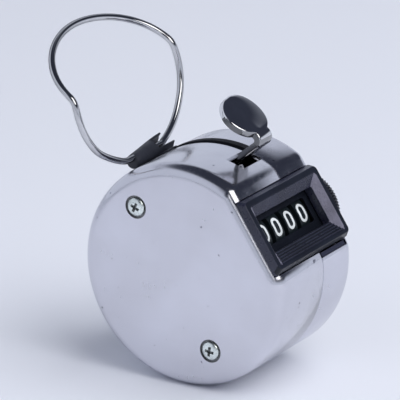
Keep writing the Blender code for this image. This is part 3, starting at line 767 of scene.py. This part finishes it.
def build_screws():
    for where, centre in SCREWS.items():
        screw = turned("screw_" + where, HEAD, centre, 72, MATS["screw"], "case", "screw_steel", 40.0)
        screw.data.materials.append(MATS["recess"])
        cut(screw, [cross_arm(centre, CROSS_TURN[where] + 90.0 * k) for k in range(2)])
        # Faces inside the cross take the darker copy: painted shade in the recess.
        for face in screw.data.polygons:
            middle = face.center / MM
            if span_of(centre, (middle[1], middle[2])) < 1.1 and -0.4 < middle[0] < 0.3:
                face.material_index = 1
        bevel(screw, 0.05, 2, 40.0)
        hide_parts("case_screw_" + where)
        # Ring in the dimple round the head, in a dark plate: painted shade.
        seat = turned("screw_seat_" + where, SEAT, centre, 72, MATS["seat"], "case", "screw_steel")
        bevel(seat, 0.01, 1)


# ---- thumb lever ----
STRIP_HALF = 2.3
FLANGE = 1.4              # depth of the lever's side walls, and their depth inside the slot
FLANGE_LOW = 0.5
SHEET = 0.55
PAD_HALF = 5.35
PAD_LONG = 4.85
PAD_CENTRE = 5.0
PAD_END = 9.85
TIP_ROUND = 0.45
LEVER_FOOT = (-8.3, 16.55)
LEVER_RUNS = ((4.2, 51.0, 51.0), (0.8, 51.0, 140.0), (6.9, 140.0, 140.0), (3.3, 140.0, 40.0),
              (1.2, 40.0, 30.0), (PAD_END - 1.2, 30.0, 45.0))     # length, first and last heading
HUB_R = 1.85
ARM_HALF = 1.25


def lever_path():
    """Outer face of the lever as (y, z, heading, distance past the fold), from the hub to the pad's tip."""
    y, z = LEVER_FOOT
    past = -sum(run[0] for run in LEVER_RUNS[:4])
    path = []
    for length, start, end in LEVER_RUNS:
        steps = ceil(length / 0.2)
        for i in range(steps):
            heading = start + (end - start) * i / steps
            path.append((y, z, heading, past))
            y, z = polar((y, z), length / steps, heading)
            past += length / steps
    tip = [PAD_END - TIP_ROUND * (1.0 - sin(radians(15.0 * i))) for i in range(1, 7)]
    path = [p for p in path if p[3] < tip[0] - 0.1]
    for past in tip:
        y, z, heading, before = path[-1]
        path.append((*polar((y, z), past - before, heading), heading, past))
    return path


def pad_width(past, shrink):
    """Half width of the oval pad, made smaller all round by shrink."""
    along = (past - PAD_CENTRE) / (PAD_LONG - shrink)
    return (PAD_HALF - shrink) * sqrt(max(0.0, 1.0 - along * along))


def lever_section(past):
    """Channel section as (across, depth): rounded outer corners, side flanges, recessed inside."""
    half = max(pad_width(past, 0.0), STRIP_HALF if past < 2.0 else 0.35)
    inner = max(pad_width(past, 0.5), STRIP_HALF - 0.5 if past < 1.5 else 0.0)
    deep = between(FLANGE_LOW, FLANGE, clamp((past + 8.8) / 1.4))
    open_in = inner > 0.4 and half - inner > 0.2
    inner = min(inner, half - 0.3) if open_in else half * 0.5
    inside = min(SHEET, deep - 0.05) if open_in else deep
    drop = 0.0
    if past > PAD_END - TIP_ROUND:
        drop = TIP_ROUND * (1.0 - sqrt(max(0.0, 1.0 - ((past - PAD_END + TIP_ROUND) / TIP_ROUND) ** 2)))
    edge = min(0.45, half * 0.6)
    right = [(half - edge, drop), (half - 0.5 * edge, drop + 0.06), (half - 0.13 * edge, drop + 0.22)]
    right += [(half, drop + 0.45), (half, deep), (inner, deep), (inner, inside)]
    return [(0.0, drop)] + right + [(0.0, inside)] + [(-a, d) for a, d in reversed(right)]


def build_lever():
    rings = []
    for y, z, heading, past in lever_path()[3:]:
        inward = direction(heading - 90.0)
        rings.append([(LEVER_X + across, y + inward[0] * depth, z + inward[1] * depth)
                      for across, depth in lever_section(past)])
    lever = lofted("lever_blade", rings, MATS["lever"], "lever", "chrome", sharp=40.0)
    lever.data.materials.append(MATS["lever_side_painted_shade"])
    lever.data.materials.append(MATS["lever_under_painted_shade"])
    # Side walls and front-facing undersides take the darker copies: painted shade.
    for face in lever.data.polygons:
        if abs(face.normal.x) > 0.8 and face.center.z < 31.0 * MM:
            face.material_index = 1
        elif face.normal.y < -0.3 and face.normal.z < 0.25:
            face.material_index = 2
    bevel(lever, 0.1, 2, 50.0)
    hub = turned("lever_hub", [(10.4, 1.05), (10.4, HUB_R), (24.5, HUB_R), (24.5, 1.05)], LEVER_PIVOT, 48,
                 MATS["spring"], "lever", "chrome")
    bevel(hub, 0.1)
    pawl_pin = (LEVER_PIVOT[0] + 7.5, LEVER_PIVOT[1] - 2.5)
    start = (LEVER_PIVOT[0] + 1.3, LEVER_PIVOT[1] - 0.45)
    heading = degrees(atan2(pawl_pin[1] - start[1], pawl_pin[0] - start[0]))
    loop = [polar(start, ARM_HALF, heading + 90.0), polar(start, ARM_HALF, heading - 90.0)]
    loop += [polar(pawl_pin, ARM_HALF, heading - 90.0 + 15.0 * i) for i in range(13)]
    arm = prism("lever_arm", [loop], 24.2, 24.9, MATS["chrome"], "lever", "chrome")
    bevel(arm, 0.1)
    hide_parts("thumb_lever")


# ---- finger ring ----
LOWER_ANGLE = 76.0
UPPER_ANGLE = 33.0
LOWER_L = 16.5
UPPER_L = 14.0
HALF_SPAN = 17.5
RING_TILT = 4.1
LEG_RISE = 5.0            # height over which a leg takes up the ring's sideways tilt


def bezier(a, b, c, d, count):
    out = []
    for i in range(count):
        t = i / count
        s = 1.0 - t
        weights = (s ** 3, 3 * s * s * t, 3 * s * t * t, t ** 3)
        out.append(tuple(sum(w * p[k] for w, p in zip(weights, (a, b, c, d))) for k in range(2)))
    return out


def ring_half(leg, side):
    """One half of the wire as (across, y, z, ease of the tilt), from the sleeve up to the top."""
    low = direction(LOWER_ANGLE)
    high = direction(UPPER_ANGLE)
    bow = bezier((HALF_SPAN, 0.0), (18.2, 8.0), (9.0, UPPER_L), (0.0, UPPER_L), 48)
    kink = (LOWER_L * low[0], LOWER_L * low[1])
    half = [(side * across, along * low[0], along * low[1], clamp(along / LEG_RISE)) for across, along in leg]
    half += [(side * across, kink[0] + along * high[0], kink[1] + along * high[1], 1.0)
             for across, along in bow]
    return half


def ring_points():
    """Wire's centre line: straight through the sleeve, two legs up to the kinks, then the top bow."""
    kink = (HALF_SPAN, LOWER_L)
    right = ring_half(bezier((6.0, 0.0), (7.6, 0.8), (19.9, 4.2), kink, 48), 1.0)
    left = ring_half(bezier((6.4, 0.0), (8.6, 0.0), (19.8, 5.2), kink, 48), -1.0)
    low = direction(LOWER_ANGLE)
    high = direction(UPPER_ANGLE)
    top = (0.0, LOWER_L * low[0] + UPPER_L * high[0], LOWER_L * low[1] + UPPER_L * high[1], 1.0)
    slope = tan(radians(RING_TILT))
    path = [(RING_X + across - slope * z * ease, RING_AXIS[0] + y, RING_AXIS[1] + z + slope * across * ease)
            for across, y, z, ease in right + [top] + left[::-1]]
    for _ in range(6):
        count = len(path)
        path = [tuple((path[i - 1][k] + 2.0 * path[i][k] + path[i + 1][k]) / 4.0 for k in range(3))
                if 8 < i < count - 8 else path[i] for i in range(count)]
    return path


def wire(name, points, radius, mat, body, slot, sides=16, closed=True):
    """Round wire swept along points, with a frame that doesn't twist."""
    pts = [Vector(p) for p in points]
    count = len(pts)
    rings = []
    up = Vector((0.0, 0.0, 1.0))
    for i, p in enumerate(pts):
        before = pts[i - 1] if (closed or i) else p
        after = pts[(i + 1) % count] if (closed or i < count - 1) else p
        forward = (after - before).normalized()
        side = forward.cross(up).normalized()
        up = side.cross(forward).normalized()
        rings.append([tuple(p + (side * cos(2 * pi * j / sides) + up * sin(2 * pi * j / sides)) * radius)
                      for j in range(sides)])
    return lofted(name, rings, mat, body, slot, closed=closed)


SLEEVE_LEFT = 8.2
SLEEVE_RIGHT = 20.3
SLEEVE_LEFT_R = 1.45
SLEEVE_FLARE = 9.0
MOUTH_CUT = 5.2
MOUTH_ANGLE = 112.0       # the side of the sleeve that is cut back, where the wire comes out
SLEEVE_DROOP = 0.07


def sleeve_end(angle):
    """How far right the sleeve's torn mouth reaches at an angle round it."""
    facing = cos(radians(angle - MOUTH_ANGLE))
    cut_back = clamp((facing - 0.59) / 0.155)
    torn = 0.16 * sin(radians(5.0 * angle)) + 0.1 * sin(radians(11.0 * angle + 40.0))
    return SLEEVE_RIGHT - MOUTH_CUT * cut_back * cut_back * (3.0 - 2.0 * cut_back) + torn


def build_ring():
    # The wire uses the darker ring chrome: painted shade along its edges.
    ring = wire("finger_wire", ring_points(), RING_WIRE_R, MATS["ring"], "ring", "chrome")
    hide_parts("finger_ring")
    count = 96
    angles = [360.0 * j / count for j in range(count)]

    def placed(x, radius, angle):
        y, z = polar(RING_AXIS, radius, angle)
        return x, y, z - SLEEVE_DROOP * (SLEEVE_RIGHT - x)

    def level(x, radius):
        return [placed(x, radius, angle) for angle in angles]

    def outside(share):
        loop = []
        for angle in angles:
            x = between(SLEEVE_LEFT + 0.3, sleeve_end(angle), share)
            flare = clamp((x - SLEEVE_LEFT) / SLEEVE_FLARE)
            loop.append(placed(x, between(SLEEVE_LEFT_R, SLEEVE_R, flare), angle))
        return loop

    def inside(share, thick):
        return [placed(between(SLEEVE_LEFT + 4.0, sleeve_end(angle), share), SLEEVE_R - thick, angle)
                for angle in angles]

    rings = [level(SLEEVE_LEFT, SLEEVE_LEFT_R - 0.3), level(SLEEVE_LEFT + 0.1, SLEEVE_LEFT_R - 0.08)]
    rings += [outside(share) for share in (0.0, 0.2, 0.4, 0.6, 0.8, 0.93, 0.98)]
    rings += [inside(*row) for row in ((1.0, 0.1), (1.0, 0.38), (0.9, 0.45), (0.5, 0.45), (0.1, 0.45))]
    rings.append(level(SLEEVE_LEFT + 3.8, 0.3))
    sleeve = lofted("ring_tube", rings, MATS["sleeve"], "case", "black_plastic", sharp=50.0)
    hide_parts("ring_sleeve")
    foot = degrees(atan2(RING_AXIS[1], RING_AXIS[0]))
    root = sector("ring_root", 14.6, 18.0, foot - 5.5, foot + 9.0, CASE_R - 0.9, CASE_R + 0.4,
                  MATS["sleeve"], "case", "black_plastic", 16)
    bevel(root, 0.3, 3)
    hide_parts("ring_lug")


# ---- stage, light and camera ----
AZIMUTH = -58.12
ELEVATION = 19.55
DISTANCE = 909.0
FOCUS = (-3.51, 10.9)     # camera shift right and up, so the counter sits off centre
LENS = 420.6
FLOOR_GAP = 0.02


def build_stage():
    n = Nodes("floor")
    cloud = n.noise(3.0, 2.0)
    colour = n.ramp(cloud, [(0.3, (0.79, 0.81, 0.88)), (0.7, (0.80, 0.82, 0.89))])
    grain = n.noise(900.0, 2.0)
    mat = n.finish(colour, n.span(grain, 0.6, 0.7), n.bump(grain, 0.02, 0.00002), 0.0)
    size = 6000.0
    z = -CASE_R - FLOOR_GAP
    floor = make("floor", [(-size, -size, z), (size, -size, z), (size, size, z), (-size, size, z)],
                 [(0, 1, 2, 3)], mat, None, None)


WALL_LIGHT = (0.66, 0.70, 0.80, 1.0)
CEILING_DARK = (0.035, 0.04, 0.06, 1.0)


def area(name, place, aim, size, power, colour):
    """Rectangular studio light at place facing aim, in millimetres and watts."""
    light = bpy.data.lights.new(name, "AREA")
    light.shape = "RECTANGLE"
    light.size = size[0] * MM
    light.size_y = size[1] * MM
    light.energy = power
    light.color = colour
    obj = bpy.data.objects.new(name, light)
    obj.location = Vector(place) * MM
    obj.rotation_mode = "QUATERNION"
    obj.rotation_quaternion = (Vector(aim) - Vector(place)).to_track_quat("-Z", "Y")
    bpy.context.scene.collection.objects.link(obj)
    return obj


def build_light():
    """Soft lights, and a room with pale walls that is dark overhead and behind the key light."""
    centre = (10.0, 0.0, 0.0)
    area("key", (-230.0, -640.0, 640.0), centre, (560.0, 560.0), 2.4, (1.0, 0.99, 0.98))
    area("window", (-900.0, -520.0, 470.0), centre, (170.0, 320.0), 0.24, (0.98, 0.99, 1.0))
    cool = (0.97, 0.98, 1.0)
    soft = area("overhead", (300.0, -900.0, 1300.0), (0.0, 0.0, 0.0), (1800.0, 1800.0), 26.0, cool)
    pool = area("floor_pool", (-170.0, 0.0, 200.0), (-60.0, 10.0, -22.0), (150.0, 150.0), 0.065,
                (0.98, 0.99, 1.0))
    for unseen in (soft, pool):
        unseen.visible_glossy = False
    world = bpy.data.worlds.new("studio")
    world.use_nodes = True
    tree = world.node_tree
    split = tree.nodes.new("ShaderNodeSeparateXYZ")
    tree.links.new(tree.nodes.new("ShaderNodeTexCoord").outputs["Generated"], split.inputs["Vector"])

    def step(socket, low, high):
        node = tree.nodes.new("ShaderNodeMapRange")
        node.interpolation_type = "SMOOTHSTEP"
        node.inputs["From Min"].default_value = low
        node.inputs["From Max"].default_value = high
        tree.links.new(split.outputs[socket], node.inputs["Value"])
        return node.outputs["Result"]

    def combine(operation, first, second):
        node = tree.nodes.new("ShaderNodeMath")
        node.operation = operation
        tree.links.new(first, node.inputs[0])
        tree.links.new(second, node.inputs[1])
        return node.outputs["Value"]

    front = combine("MULTIPLY", step("Y", 0.20, -0.12), step("Z", 0.12, 0.3))
    dark = combine("MAXIMUM", front, step("Z", 0.64, 0.8))
    mix = tree.nodes.new("ShaderNodeMix")
    mix.data_type = "RGBA"
    mix.inputs["A"].default_value = WALL_LIGHT
    mix.inputs["B"].default_value = CEILING_DARK
    tree.links.new(dark, mix.inputs["Factor"])
    tree.links.new(mix.outputs["Result"], tree.nodes["Background"].inputs["Color"])
    bpy.context.scene.world = world


def build_camera():
    a = radians(AZIMUTH)
    e = radians(ELEVATION)
    back = Vector((sin(a) * cos(e), -cos(a) * cos(e), sin(e)))
    right = Vector((cos(a), sin(a), 0.0))
    up = back.cross(right)
    data = bpy.data.cameras.new("camera")
    data.sensor_width = 36.0
    data.lens = LENS
    data.clip_start = 0.01
    data.clip_end = 100.0
    camera = bpy.data.objects.new("camera", data)
    place = Vector((MID_X, 0.0, 0.0)) + back * DISTANCE + right * FOCUS[0] + up * FOCUS[1]
    camera.location = place * MM
    camera.rotation_mode = "QUATERNION"
    camera.rotation_quaternion = (-back).to_track_quat("-Z", "Y")
    bpy.context.scene.collection.objects.link(camera)
    bpy.context.scene.camera = camera
    bpy.context.scene.view_settings.view_transform = "Standard"


build_case()
build_bezel()
build_wheels()
build_knob()
build_screws()
build_lever()
build_ring()
build_stage()
build_light()
build_camera()
